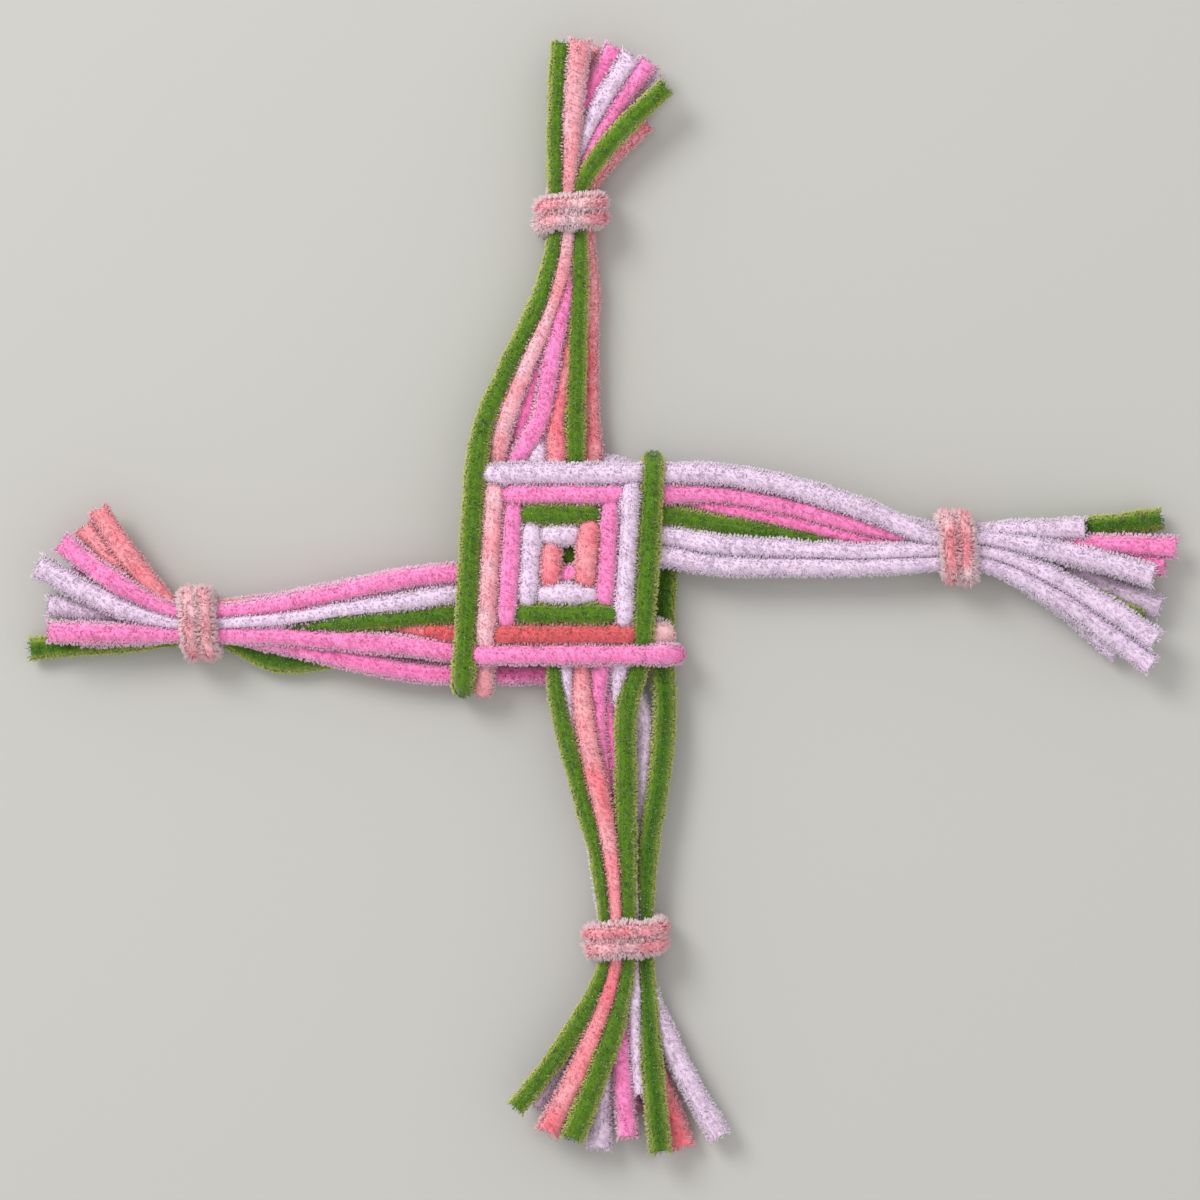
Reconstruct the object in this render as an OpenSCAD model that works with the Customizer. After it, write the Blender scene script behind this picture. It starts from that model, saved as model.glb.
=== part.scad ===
// Woven four-armed cross of folded chenille stems, lying flat with its front up.
// X runs to the right arm, Y to the top arm, Z out of the front, and the weave's middle is over
// the origin, with the flats under the ties at Z = 0.
// One straight stem stands in the middle. Twenty more are folded in half, each round
// the arm before it, going right, bottom, left, top, right and so on. Wound ties close the arms.

/* [Stem] */
// Width of the crushed pile of a stem inside the weave
pile_width = 3.5; // [3.2:0.1:3.8]
// Thickness of the crushed pile inside the weave
pile_height = 2.2; // [2:0.1:2.4]
// Pile diameter at a cut end
tip_pile = 3; // [2.7:0.1:3.2]
// Pile diameter where a stem is bent back on itself
fold_pile = 1.4; // [1.2:0.1:1.5]
// Pile diameter where a tie squeezes the legs
bundle_pile = 1.6; // [1.4:0.1:1.7]

/* [Weave] */
// Room between two legs that lie side by side
lane_room = 0.9; // [0.8:0.1:1.2]
// Gap between the two legs of a folded stem
leg_gap = 0.5; // [0.4:0.1:0.8]
// Gap between a leg and the leg that it is folded over
over_gap = 0.85; // [0.8:0.05:1.2]
// Gap between a fold and the side of the legs that it goes round
fold_gap = 0.45; // [0.4:0.05:0.7]
// Lean of the upright lanes to the right, for each millimetre up
lean = 0.06; // [0:0.01:0.08]

/* [Arms] */
// Distance from the weave's middle to the tie on the right arm
tie_right = 86.4; // [84:0.2:89]
// Distance from the weave's middle to the tie on the bottom arm
tie_bottom = 83.4; // [81:0.2:86]
// Distance from the weave's middle to the tie on the left arm
tie_left = 80.2; // [78:0.2:83]
// Distance from the weave's middle to the tie on the top arm
tie_top = 76; // [74:0.2:79]
// Distance from the weave's middle to the furthest cut end on the right arm
reach_right = 134.3; // [131:0.1:138]
// Distance from the weave's middle to the furthest cut end on the bottom arm
reach_bottom = 129.9; // [127:0.1:134]
// Distance from the weave's middle to the furthest cut end on the left arm
reach_left = 117.6; // [115:0.1:121]
// Distance from the weave's middle to the furthest cut end on the top arm
reach_top = 113.4; // [111:0.1:117]
// Gap between legs that lie together in a tie
bundle_gap = 0.6; // [0.55:0.05:0.8]

/* [Ties] */
// Pile diameter of a wound tie
tie_pile = 2.6; // [2.3:0.1:3]
// Turns of a tie round its arm
tie_turns = 1.6; // [1.4:0.1:2.1]
// Gap between two turns of a tie
turn_gap = 0.6; // [0.5:0.1:1]
// Gap between a tie and the legs inside it, above and below them
tie_gap = 0.9; // [0.9:0.05:1.2]
// Gap between a tie and the legs inside it, beside them
tie_side_gap = 0.55; // [0.5:0.05:0.9]
// Depth of the flat that a tie rests on
rest_flat = 0.3; // [0.2:0.1:0.4]

/* [Hidden] */

// Arms are numbered right, bottom, left, top, in the order that the stems are added.
RIGHT = 0;
BOTTOM = 1;
LEFT = 2;
TOP = 3;
FRONT = 1;
BACK = -1;
RANKS = 5;
sides = 8;

lane_pitch = pile_width + lane_room;
under_lift = (pile_height + leg_gap) / 2;
over_lift = under_lift + pile_height + over_gap;
fold_reach = (pile_width + fold_pile) / 2 + fold_gap;
slot_pitch = bundle_pile + bundle_gap;

// How far the first lane of each arm stands from the middle, in lanes.
lead = [0.2, 0.15, 0.75, 0.65];
tie_at = [tie_right, tie_bottom, tie_left, tie_top];
arm_reach = [reach_right, reach_bottom, reach_left, reach_top];
// Where each tie's middle stands beside the line of its arm.
tie_side = [2.6, 13.6, 14.1, -1.5];

// Green, hot pink, coral, pale coral and lilac pile.
green = [0.27, 0.5, 0.13];
pink = [0.95, 0.38, 0.66];
coral = [0.93, 0.45, 0.45];
pale = [0.93, 0.62, 0.6];
lilac = [0.86, 0.8, 0.9];
stem_color = [green, lilac, lilac, pink, coral, lilac, coral, lilac, lilac, green, pink,
    green, pink, pink, lilac, coral, pale, lilac, green, pink, green];

// The straight stem is squeezed where the first folds close on it, and leans aside below them.
core_x = 0.6;
core_lean = -0.3;
core_width = 1.6;
core_height = 1.4;
// The first two folded stems are squeezed where they cross it.
knot_width = 1.8;
knot_height = 1.5;
knot_lane = 3.1;

// Legs in the arms. Each row is the layer in the tie, the place along that layer, the sideways
// bow at three places along the arm and its lift, and the cut end: how far it falls short of the
// arm's reach, its place sideways and its height.
straight = [0, 0, 0, 0];
leg_rows = [
    [[[1, -1.5, [-2, -1.6, -0.8, 0]], [5.5, -23.3, 2]], [[-1, -1, straight], [12.3, -20.5, -2.7]],
     [[1, -0.35, [-1.8, -1.8, -1.2, 0]], [4.8, -17.8, 3]], [[-1, 0, straight], [3.1, -10.8, -2.7]],
     [[0, -1.5, [-1, 0, 0.2, 0]], [7.7, -13.6, -0.4]], [[-1, 1, straight], [2.9, 8.8, -2]],
     [[0, 0.5, [1.1, 2, 1.6, 0.4]], [0, 2.6, 0.6]],
     [[0, -0.5, [-1.1, -0.6, 0, -0.4]], [2.4, -1.3, -0.3]],
     [[1, 0.8, [1.7, 3.8, 4, 0]], [5.3, -3.7, 3]], [[0, 1.5, [1, 2.2, 2, 0]], [20, 6.6, 1.4]]],
    [[[0, -2, straight], [0.4, 7.7, -1]], [[-1, -1, straight], [9.5, -6.4, -2.7]],
     [[1, -0.95, straight], [4.4, -3.5, 2.5]], [[-1, 0.5, straight], [0.4, 26.2, -3]],
     [[0, -1.15, [-1.1, -0.6, 0, 0.4]], [3.1, 14.1, 0.3]],
     [[0, -0.1, [1.1, 0.6, 0, -0.4]], [8.1, 15, -3.2]],
     [[0, 0.8, [0, 0, 0, -1.5]], [12.3, 17.3, 0]], [[-1, 1.5, [4, 3, 1, 0]], [2.9, 34.3, -1]],
     [[1, 0.1, [-2.9, -2.1, -0.8, 0]], [3.1, 1.8, 4]], [[0, 1.9, [1.2, 1.2, 0, 0]], [0, 21.2, 2.2]]],
    [[[1, -1.15, straight], [7.7, -3.7, 3.4]], [[-1, -1.5, straight], [9.6, 2, -3.2]],
     [[1, 0.05, [1, 0.8, 0, 0]], [2.4, 1.5, 2.7]], [[-1, -0.5, straight], [4.2, 10.1, -1]],
     [[-1, 0.5, [0.4, 0.4, 0.4, 4.4]], [14.6, 14.4, -3.4]], [[-1, 1.5, [0.8, 6, 6, -0.9]], [0, 19.8, -3]],
     [[0, -1.5, [-1.2, -1.2, -0.4, -0.5]], [15.4, -10.8, 1.5]],
     [[0, -0.5, [1.5, 0.6, -0.2, -1.1]], [12.1, -7, -0.2]],
     [[1, 1.1, [-1.2, -1, -0.4, 0]], [4.9, 16, 3.5]], [[0, 1, [0.4, 0.8, 0.8, 0]], [11.6, 17, -0.3]]],
    [[[0, -1.5, [0.5, 0, 0.8, 0.6]], [17.4, -13.5, -0.2]], [[-1, -1.5, [0, 0, -0.6, 0]], [17, -17.5, -3]],
     [[-1, -0.5, [-0.3, 0, 0, -1.4]], [5.9, -19.8, -3.2]], [[0, 0.5, [0, 0, 0, -1.4]], [3.1, -14.8, 1.2]],
     [[0, -0.5, [-4, -2.2, 0, 2]], [4.4, -18.6, 0.7]],
     [[0, 1.5, [-0.6, -0.8, -0.4, 0.4]], [1.1, -11.2, -0.3]],
     [[1, 0.3, straight], [0, -3.5, 3.4]], [[-1, 0.5, [-0.6, -1, 0, 0]], [0.2, -6.2, -4]],
     [[1, 1.4, straight], [0.2, 0.2, 1.6]], [[-1, 1.5, straight], [7.4, 0.5, -2.7]]]];

// The straight stem's two ends, in the top arm and in the bottom arm.
core_rows = [[[1, -0.9, straight], [10.1, -22.4, 3.4]], [[1, -1.95, straight], [9.5, -10.5, 2.5]]];

// Smooth steps between keys, each a place and a value.
function ease(t) = t <= 0 ? 0 : t >= 1 ? 1 : t * t * (3 - 2 * t);
function span(keys, x, i) =
    i >= len(keys) - 2 || x < keys[i + 1][0] ? i : span(keys, x, i + 1);
function keyed(keys, x) =
    let (i = span(keys, x, 0), a = keys[i], b = keys[i + 1])
    a[1] + (b[1] - a[1]) * ease((x - a[0]) / (b[0] - a[0]));
function last(list) = list[len(list) - 1];
function flip(list) = [for (i = [len(list) - 1:-1:0]) list[i]];

// Lanes: the place of a rank beside the line of its arm.
function lane(arm, rank) = lane_pitch * (rank + lead[arm]);
// The back leg of the last bottom and left stems lies beside its front leg.
function spread(arm, rank) = rank == RANKS - 1 && (arm == BOTTOM || arm == LEFT) ? lane_pitch : 0;
function leg_lane(arm, rank, face) = lane(arm, rank) + (face == BACK ? spread(arm, rank) : 0);
// Three back legs leave their lanes: the last right stem's bulges out behind its front leg, the
// first top stem's goes behind the straight stem, and the second's takes the lane left free.
function aside(arm, rank, face, u) =
    face == FRONT ? 0
    : arm == RIGHT && rank == RANKS - 1 && abs(u - 6) < 12 ? 2.2 * pow(cos(7.5 * (u - 6)), 2)
    : arm == TOP && rank == 0 ? -7.2 * ease((u - 8) / 12.5)
    : arm == TOP && rank == 1 ? -4.5 * ease((u - 10) / 10) : 0;

function before(arm) = (arm + 3) % 4;
function after(arm) = (arm + 1) % 4;
// The last rank of the arm before that a fold goes round, and the first rank of the arm
// after that goes round its legs.
function wraps(arm, rank) = arm == RIGHT ? rank - 1 : rank;
function locked_by(arm, rank) = arm == TOP ? rank + 1 : rank;
function far_side(arm, rank) =
    let (prev = before(arm), w = wraps(arm, rank))
    on_knot(arm, rank) ? knot_lane - 0.6 : lane(prev, w) + spread(prev, w);
// The third folded stem goes round the squeezed second one.
function on_knot(arm, rank) = arm == LEFT && rank == 0;
// Two folds slid out to long loops.
function loop_length(arm, rank) =
    rank == RANKS - 2 && arm == LEFT ? 8.4 : rank == RANKS - 2 && arm == TOP ? 11.7
    : on_knot(arm, rank) ? (knot_width + fold_pile) / 2 + fold_gap : fold_reach;
function lift_over(arm, rank) =
    on_knot(arm, rank) ? pair_lift + knot_height + fold_gap
    : arm == BOTTOM && rank == 1 ? over_lift + 0.35 : over_lift;
function lift_past(arm, rank) =
    over_lift - (rank == RANKS - 1 && arm != RIGHT || rank == 1 && arm == BOTTOM ? 0.1 : 0.2);

// Height of a leg along its arm, from the crossing that it is folded over to the weave's edge.
function lift_keys(arm, rank) =
    let (next = after(arm), lock = locked_by(arm, rank), high = lift_over(arm, rank),
        near = on_knot(arm, rank) ? far_side(arm, rank) : lane(before(arm), 0))
    concat([[-near, high]],
        lock > 0 && lane(next, lock - 1) > -near + 2
            ? [[lane(next, lock - 1), lift_past(arm, rank)]] : [],
        lock < RANKS ? [[lane(next, lock), under_lift]] : []);

// The weave's stretch of a leg as rows of [out, side, height, half width, half height].
function fold_points(arm, rank, face) =
    let (side = lane(arm, rank), out = far_side(arm, rank), reach = loop_length(arm, rank),
        high = lift_over(arm, rank), r = fold_pile / 2)
    reach > 5
        ? [[-out - reach + 0.4, side, face * 1, r, r],
           [-out - reach + 1.4, side, face * under_lift, pile_width / 2.4, pile_height / 2],
           [-out - lane_pitch, side, face * under_lift, pile_width / 2.4, pile_height / 2],
           [-out - fold_reach, side, face * (under_lift + 0.6), r, r],
           [-out - 0.5 * fold_reach, side, face * 0.86 * high, r * 1.2, r * 1.2]]
        : [for (t = [60, 30]) [-out - reach * sin(t), side, face * high * cos(t), r, r]];

function weave_points(arm, rank, face) =
    let (side = leg_lane(arm, rank, face), keys = lift_keys(arm, rank), out = far_side(arm, rank),
        near = -keys[0][0], end = last(keys)[0], exit = weave_edge(arm),
        w = pile_width / 2, h = pile_height / 2, start = lane(arm, rank))
    concat(
        out > near + 1 ? [[-out, start, face * lift_over(arm, rank), w, h]] : [],
        out > near + 8 ? [[-(out + near) / 2, (start + side) / 2, face * lift_over(arm, rank), w, h]] : [],
        [for (i = [0:len(keys) - 2], t = [0, 0.3, 0.7])
            let (u = keys[i][0] + t * (keys[i + 1][0] - keys[i][0]),
                squeezed = on_knot(arm, rank) && t == 0)
            [u, side + aside(arm, rank, face, u), face * keyed(keys, u), w,
             squeezed ? knot_height / 2 : h]],
        [[end, side, face * last(keys)[1], w, h]],
        end < exit - 3
            ? [for (u = exit > end + 10 ? [end + 3, (end + exit) / 2, exit] : [exit])
                [u, side + aside(arm, rank, face, u), face * last(keys)[1], w, h]]
            : []);

// The first folded stem goes round the straight one, and the second round the first.
knot_lift = (core_height + knot_height) / 2 + fold_gap;
knot_reach = (core_width + knot_height) / 2 + fold_gap;
pair_lift = (knot_height + leg_gap) / 2;
pair_reach = (knot_width + knot_height) / 2 + fold_gap;
function knot_one(face) =
    let (side = lane(RIGHT, 0), w = knot_width / 2, h = knot_height / 2)
    concat([for (t = [60, 30]) [core_x - knot_reach * sin(t), side, face * knot_lift * cos(t), h, h]],
        [[core_x + 0.3, side, face * knot_lift, w, h],
         [knot_lane - 0.8, side, face * pair_lift, w, h],
         [lane(BOTTOM, 1) + 2, side, face * pair_lift, w, h],
         [lane(BOTTOM, 2), side, face * under_lift, pile_width / 2, pile_height / 2],
         [weave_edge(RIGHT), side, face * under_lift, pile_width / 2, pile_height / 2]]);
function knot_two(face) =
    let (out = lane(RIGHT, 0), w = knot_width / 2, h = knot_height / 2, edge = weave_edge(BOTTOM),
        lift = pair_lift + knot_height + fold_gap)
    concat([for (t = [60, 30]) [-out - pair_reach * sin(t), knot_lane, face * lift * cos(t), h, h]],
        [[-out, knot_lane, face * lift, w, h],
         [-out + w / 2, knot_lane, face * lift, w, h],
         [lane(LEFT, 0) - pile_width / 2 - leg_gap, knot_lane - 0.3, face * (pair_lift + 0.4), w, h],
         [lane(LEFT, 0), knot_lane - 0.6, face * pair_lift, w, h],
         [lane(LEFT, 1), knot_lane - 0.8, face * pair_lift, w, h],
         [(lane(LEFT, 1) + edge) / 2, knot_lane - 1, face * under_lift, w, h],
         [edge, knot_lane - 1.1, face * under_lift, w, h]]);

function weave_edge(arm) = lane(after(arm), RANKS - 1) + pile_width / 2 + 0.6;

// The rest of a leg: along its arm, through the tie and out to its cut end.
function arm_points(arm, row, from) =
    let (slot = row[0], tip = row[1], end = arm_reach[arm] - tip[0], tie = tie_at[arm],
        z = slot[0] * slot_pitch, v = tie_side[arm] + slot[1] * slot_pitch,
        r = bundle_pile / 2, half = tie_half())
    concat(
        [for (t = [0.2, 0.45, 0.75])
            [from[0] + t * (tie - half - from[0]),
             from[1] + ease(t) * (v - from[1]) + slot[2][round(3 * t - 0.3)],
             from[2] + ease(t * 3.2) * (z - from[2]) + slot[2][3] * sin(180 * t),
             r + (1 - t) * 0.2, r]],
        [for (s = [-half, half]) [tie + s, v, z, r, r]],
        [for (t = [0.15, 0.35, 0.65, 1])
            let (grow = ease(t * 1.2), pile = r + grow * (tip_pile / 2 - r))
            [tie + half + t * (end - tie - half), v + pow(t, 1.4) * (tip[1] - v),
             z + grow * (tip[2] - z), pile, pile]]);
function tie_half() = (tie_turns * (tie_pile + turn_gap) + tie_pile) / 2 + 0.5;

// The weave leans as one: its upright lanes tilt, and its level lanes slide along themselves.
function leaned(arm, rows) = [for (p = rows)
    arm % 2 == 0 ? [p[0] + lean * p[1], p[1], p[2], p[3], p[4]]
        : [p[0], p[1] - lean * p[0], p[2], p[3], p[4]]];

function leg(arm, rank, face) =
    let (inner = leaned(arm, arm == RIGHT && rank == 0 ? knot_one(face)
            : arm == BOTTOM && rank == 0 ? knot_two(face)
            : concat(fold_points(arm, rank, face), weave_points(arm, rank, face))))
    concat(inner, arm_points(arm, leg_rows[arm][2 * rank + (face == BACK ? 1 : 0)], last(inner)));

function fold_tip(arm, rank) =
    arm == RIGHT && rank == 0
        ? [core_x - knot_reach, lane(RIGHT, 0), 0, knot_height / 2, knot_height / 2]
    : arm == BOTTOM && rank == 0
        ? [-lane(RIGHT, 0) - pair_reach, knot_lane, 0, knot_height / 2, knot_height / 2]
    : [-far_side(arm, rank) - loop_length(arm, rank), lane(arm, rank), 0, fold_pile / 2, fold_pile / 2];

// A folded stem: front leg from its cut end to the fold, the fold, and the back leg.
function folded_route(arm, rank) =
    concat(flip(leg(arm, rank, FRONT)), leaned(arm, [fold_tip(arm, rank)]), leg(arm, rank, BACK));

// The straight stem, as a route along the top arm's line: the bottom arm's half is turned over.
function core_route() =
    let (w = core_width / 2, h = core_height / 2,
        up = leaned(TOP, [[lane(RIGHT, 1), -core_x, 0, w, h],
            [lane(RIGHT, 2), -core_x - 0.3, under_lift, w * 1.4, h * 1.2],
            [weave_edge(TOP), -core_x - 0.6, under_lift, w * 1.5, h * 1.2]]),
        down = leaned(BOTTOM, [[lane(LEFT, 0), core_lean + 0.4, 0, w, h],
            [lane(LEFT, 1), core_lean + 0.2, 0, w, h],
            [weave_edge(BOTTOM), core_lean, under_lift, w * 1.2, h * 1.2]]),
        top = concat(up, arm_points(TOP, core_rows[0], last(up))),
        low = concat(down, arm_points(BOTTOM, core_rows[1], last(down))))
    concat(flip(top), [[0, -core_x, 0, w, h]], [for (p = low) [-p[0], -p[1], p[2], p[3], p[4]]]);

// A tube along a route: rings stand square to the route, with their width kept sideways.
function unit(v) = v / norm(v);
function place(p) = [p[0], p[1], p[2]];
function heading(route, i) =
    unit(place(route[min(i + 1, len(route) - 1)]) - place(route[max(i - 1, 0)]));
function ring(route, i) =
    let (p = route[i], t = heading(route, i), n = unit([0, 1, 0] - t[1] * t), b = cross(t, n))
    [for (k = [0:sides - 1])
        let (a = 360 * (k + 0.5) / sides)
        place(p) + p[3] * cos(a) * n + p[4] * sin(a) * b];
module tube(rings, count) {
    n = len(rings);
    points = [for (r = rings, p = r) p];
    walls = [for (i = [0:n - 2], k = [0:count - 1])
        let (a = i * count + k, b = i * count + (k + 1) % count)
        each [[a, b, a + count], [b, b + count, a + count]]];
    caps = [for (k = [1:count - 2])
        each [[0, k + 1, k], [(n - 1) * count, (n - 1) * count + k, (n - 1) * count + k + 1]]];
    polyhedron(points, concat(walls, caps));
}
module stem(route) {
    tube([for (i = [0:len(route) - 1]) ring(route, i)], sides);
}
// Turns an arm's own line into place, above the plane that the ties rest on.
module on_arm(arm) {
    translate([0, 0, tie_foot]) rotate([0, 0, -90 * arm]) children();
}
module folded_stem(number) {
    arm = (number - 1) % 4;
    rank = floor((number - 1) / 4);
    color(stem_color[number]) on_arm(arm) stem(folded_route(arm, rank));
}
module straight_stem() {
    color(stem_color[0]) on_arm(TOP) stem(core_route());
}

// Ties: one unbroken winding round each arm, with straight ends.
tie_sides = 6;
turn_rings = 24;
tie_step = tie_pile + turn_gap;
function bundle_half(arm) = slot_pitch * (arm == BOTTOM ? 2 : 1.5) + bundle_pile / 2;
tie_tall = slot_pitch + bundle_pile / 2 + tie_gap + tie_pile / 2;
function tie_wide(arm) = bundle_half(arm) + tie_side_gap + tie_pile / 2;
// From the weave's middle plane down to the flats under the ties.
tie_foot = tie_tall + tie_pile / 2 * cos(180 / tie_sides) - rest_flat;
// A squarish oval, as the bundle inside it is.
function squarish(x) = sign(x) * pow(abs(x), 0.6);
function wound(arm, turn) =
    [tie_at[arm] + (turn - tie_turns / 2) * tie_step,
     tie_side[arm] + tie_wide(arm) * squarish(cos(360 * turn)), tie_tall * squarish(sin(360 * turn))];
function tie_route(arm) =
    let (steps = round(tie_turns * turn_rings),
        body = [for (i = [0:steps]) wound(arm, tie_turns * i / steps)],
        first = unit(body[0] - body[1]), end = unit(body[steps] - body[steps - 1]))
    concat([body[0] + tie_pile * first], body, [body[steps] + tie_pile * end]);
function tie_ring(route, i) =
    let (t = heading(route, i), n = unit([1, 0, 0] - t[0] * t), b = cross(t, n))
    [for (k = [0:tie_sides - 1]) route[i] + tie_pile / 2 * (cos(60 * k) * n + sin(60 * k) * b)];
function self_gap(route) = min([for (i = [0:len(route) - 1], k = [i + 12:1:len(route) - 1])
    norm(route[i] - route[k])]) - tie_pile;
module tie(arm) {
    route = tie_route(arm);
    echo(least_gap_of_the_winding = self_gap(route));
    color(pale) on_arm(arm) difference() {
        tube([for (i = [0:len(route) - 1]) tie_ring(route, i)], tie_sides);
        translate([tie_at[arm] - tie_wide(arm), tie_side[arm] - 2 * tie_wide(arm), -2 * tie_foot])
            cube([2 * tie_wide(arm), 4 * tie_wide(arm), tie_foot]);
    }
}

straight_stem();  // stem_00
folded_stem(1);  // stem_01
folded_stem(2);  // stem_02
folded_stem(3);  // stem_03
folded_stem(4);  // stem_04
folded_stem(5);  // stem_05
folded_stem(6);  // stem_06
folded_stem(7);  // stem_07
folded_stem(8);  // stem_08
folded_stem(9);  // stem_09
folded_stem(10);  // stem_10
folded_stem(11);  // stem_11
folded_stem(12);  // stem_12
folded_stem(13);  // stem_13
folded_stem(14);  // stem_14
folded_stem(15);  // stem_15
folded_stem(16);  // stem_16
folded_stem(17);  // stem_17
folded_stem(18);  // stem_18
folded_stem(19);  // stem_19
folded_stem(20);  // stem_20
tie(RIGHT);  // tie_right_arm
tie(BOTTOM);  // tie_bottom_arm
tie(LEFT);  // tie_left_arm
tie(TOP);  // tie_top_arm
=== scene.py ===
"""Looks for a woven four-armed cross of chenille stems, lying front up on a pale floor."""
import math

import bpy
import numpy as np
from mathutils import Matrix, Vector

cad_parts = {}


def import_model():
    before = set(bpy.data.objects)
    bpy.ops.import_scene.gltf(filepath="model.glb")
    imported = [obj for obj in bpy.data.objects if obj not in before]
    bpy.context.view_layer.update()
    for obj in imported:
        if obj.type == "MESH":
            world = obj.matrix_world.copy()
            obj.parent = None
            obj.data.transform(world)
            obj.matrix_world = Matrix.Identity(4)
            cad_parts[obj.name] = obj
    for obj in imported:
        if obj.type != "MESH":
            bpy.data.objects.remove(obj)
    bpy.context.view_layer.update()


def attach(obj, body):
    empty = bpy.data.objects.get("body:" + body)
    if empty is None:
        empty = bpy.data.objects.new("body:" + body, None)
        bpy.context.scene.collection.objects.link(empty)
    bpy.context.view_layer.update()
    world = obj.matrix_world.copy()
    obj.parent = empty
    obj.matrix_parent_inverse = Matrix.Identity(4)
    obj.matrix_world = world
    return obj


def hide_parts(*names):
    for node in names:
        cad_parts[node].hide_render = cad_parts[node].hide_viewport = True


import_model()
rng = np.random.default_rng(40)
MM = 0.001

# Sizes in millimetres, as in the part's source.
PILE_WIDTH, PILE_HEIGHT, FOLD_PILE, BUNDLE_PILE = 3.5, 2.2, 1.4, 1.6
LANE_ROOM, LEG_GAP, OVER_GAP, FOLD_GAP, BUNDLE_GAP, LEAN = 0.9, 0.5, 0.85, 0.45, 0.6, 0.06
TIE_PILE, TIE_TURNS, TURN_GAP, TIE_GAP, TIE_SIDE_GAP, REST_FLAT = 2.6, 1.6, 0.6, 0.9, 0.55, 0.3
TIE_SIDES, TIE_STEPS, TIE_CORNER, TIE_ROOM, EDGE_ROOM = 6, 24, 0.6, 0.5, 0.6
ARMS, RANKS = 4, 5
RIGHT, BOTTOM, LEFT, TOP = range(ARMS)
FRONT, BACK = 1, -1

# For each arm: the start of its lanes in lane pitches, its tie and its furthest cut end along the
# arm, and across the arm the tie's place and half its bundle's width in slot pitches.
LEAD = [0.2, 0.15, 0.75, 0.65]
TIE_AT = [86.4, 83.4, 80.2, 76]
ARM_REACH = [134.3, 129.9, 117.6, 113.4]
TIE_SIDE = [2.6, 13.6, 14.1, -1.5]
TIE_LEGS = [1.5, 2, 1.5, 1.5]

# The straight stem with its drift above and below the middle, and the knot of the first two
# folds. KNOT_BEND is the drift of the second stem, row by row.
CORE_X, CORE_LEAN, CORE_WIDTH, CORE_HEIGHT = 0.6, -0.3, 1.6, 1.4
CORE_UP, CORE_DOWN = (0.3, 0.6), (0.4, 0.2)
KNOT_WIDTH, KNOT_HEIGHT, KNOT_LANE = 1.8, 1.5, 3.1
KNOT_PAST, KNOT_NEAR, KNOT_OPEN, KNOT_SINK = 0.3, 0.8, 2, 0.4
KNOT_BEND = (0.3, 0.6, 0.8, 1, 1.1)

# Back legs that give way: a bulge of the last one of the right arm (size, middle, half length),
# and side steps of the first two of the top arm (size, start, length).
BULGE, BULGE_AT, BULGE_HALF = 2.2, 6, 12
TOP_STEPS = [(-7.2, 8, 12.5), (-4.5, 10, 10)]

# Folds: angles of the rows round one, the two long loops, and a loop's way from its end over
# the arm before.
FOLD_ANGLES = (math.pi / 3, math.pi / 6)
LONG_LOOPS = {LEFT: 8.4, TOP: 11.7}
LOOP_END, LOOP_LOW, LOOP_RISE, LOOP_SHOULDER = (0.4, 1), 1.4, 0.6, 0.86

# Heights in the weave: one higher leg, dips before a lock, and where rows are added.
HIGH_LEG, TIGHT_DIP, DIP = 0.35, 0.1, 0.2
LOCK_ROOM, KEY_STEPS = 2, (0, 0.3, 0.7)
SHORT_SPAN, LONG_SPAN, RUN_OUT, LONG_RUN = 1, 8, 3, 10

# Arms: rows up to the tie and after it, and how fast a leg settles into its layer, fans out,
# rises and fluffs up.
ARM_STEPS, TASSEL_STEPS = (0.2, 0.45, 0.75), (0.15, 0.35, 0.65, 1)
SETTLE, FAN_OUT, RISE, FLUFF = 3.2, 1.4, 1.2, 2.5

LANE_PITCH = PILE_WIDTH + LANE_ROOM
UNDER_LIFT = (PILE_HEIGHT + LEG_GAP) / 2
OVER_LIFT = UNDER_LIFT + PILE_HEIGHT + OVER_GAP
FOLD_REACH = (PILE_WIDTH + FOLD_PILE) / 2 + FOLD_GAP
SLOT_PITCH = BUNDLE_PILE + BUNDLE_GAP
KNOT_LIFT = (CORE_HEIGHT + KNOT_HEIGHT) / 2 + FOLD_GAP
KNOT_REACH = (CORE_WIDTH + KNOT_HEIGHT) / 2 + FOLD_GAP
PAIR_LIFT = (KNOT_HEIGHT + LEG_GAP) / 2
PAIR_OVER = PAIR_LIFT + KNOT_HEIGHT + FOLD_GAP
PAIR_REACH = (KNOT_WIDTH + KNOT_HEIGHT) / 2 + FOLD_GAP
TIE_TALL = SLOT_PITCH + BUNDLE_PILE / 2 + TIE_GAP + TIE_PILE / 2
TIE_FOOT = TIE_TALL + TIE_PILE / 2 * math.cos(math.pi / TIE_SIDES) - REST_FLAT
TIE_HALF = (TIE_TURNS * (TIE_PILE + TURN_GAP) + TIE_PILE) / 2 + TIE_ROOM

# Reach of the free pile from its wire, before neighbours press on it.
WEAVE_PILE, FOLD_TUFT, KNOT_TUFT, POMPOM, EYE_PILE = 2.75, 2.6, 0.3, 3.8, 4.1
ARM_PILE, BUNDLE_TUFT, TIP_PILE, WOUND_PILE = 2.65, 2.1, 2.75, 2.55

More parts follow.
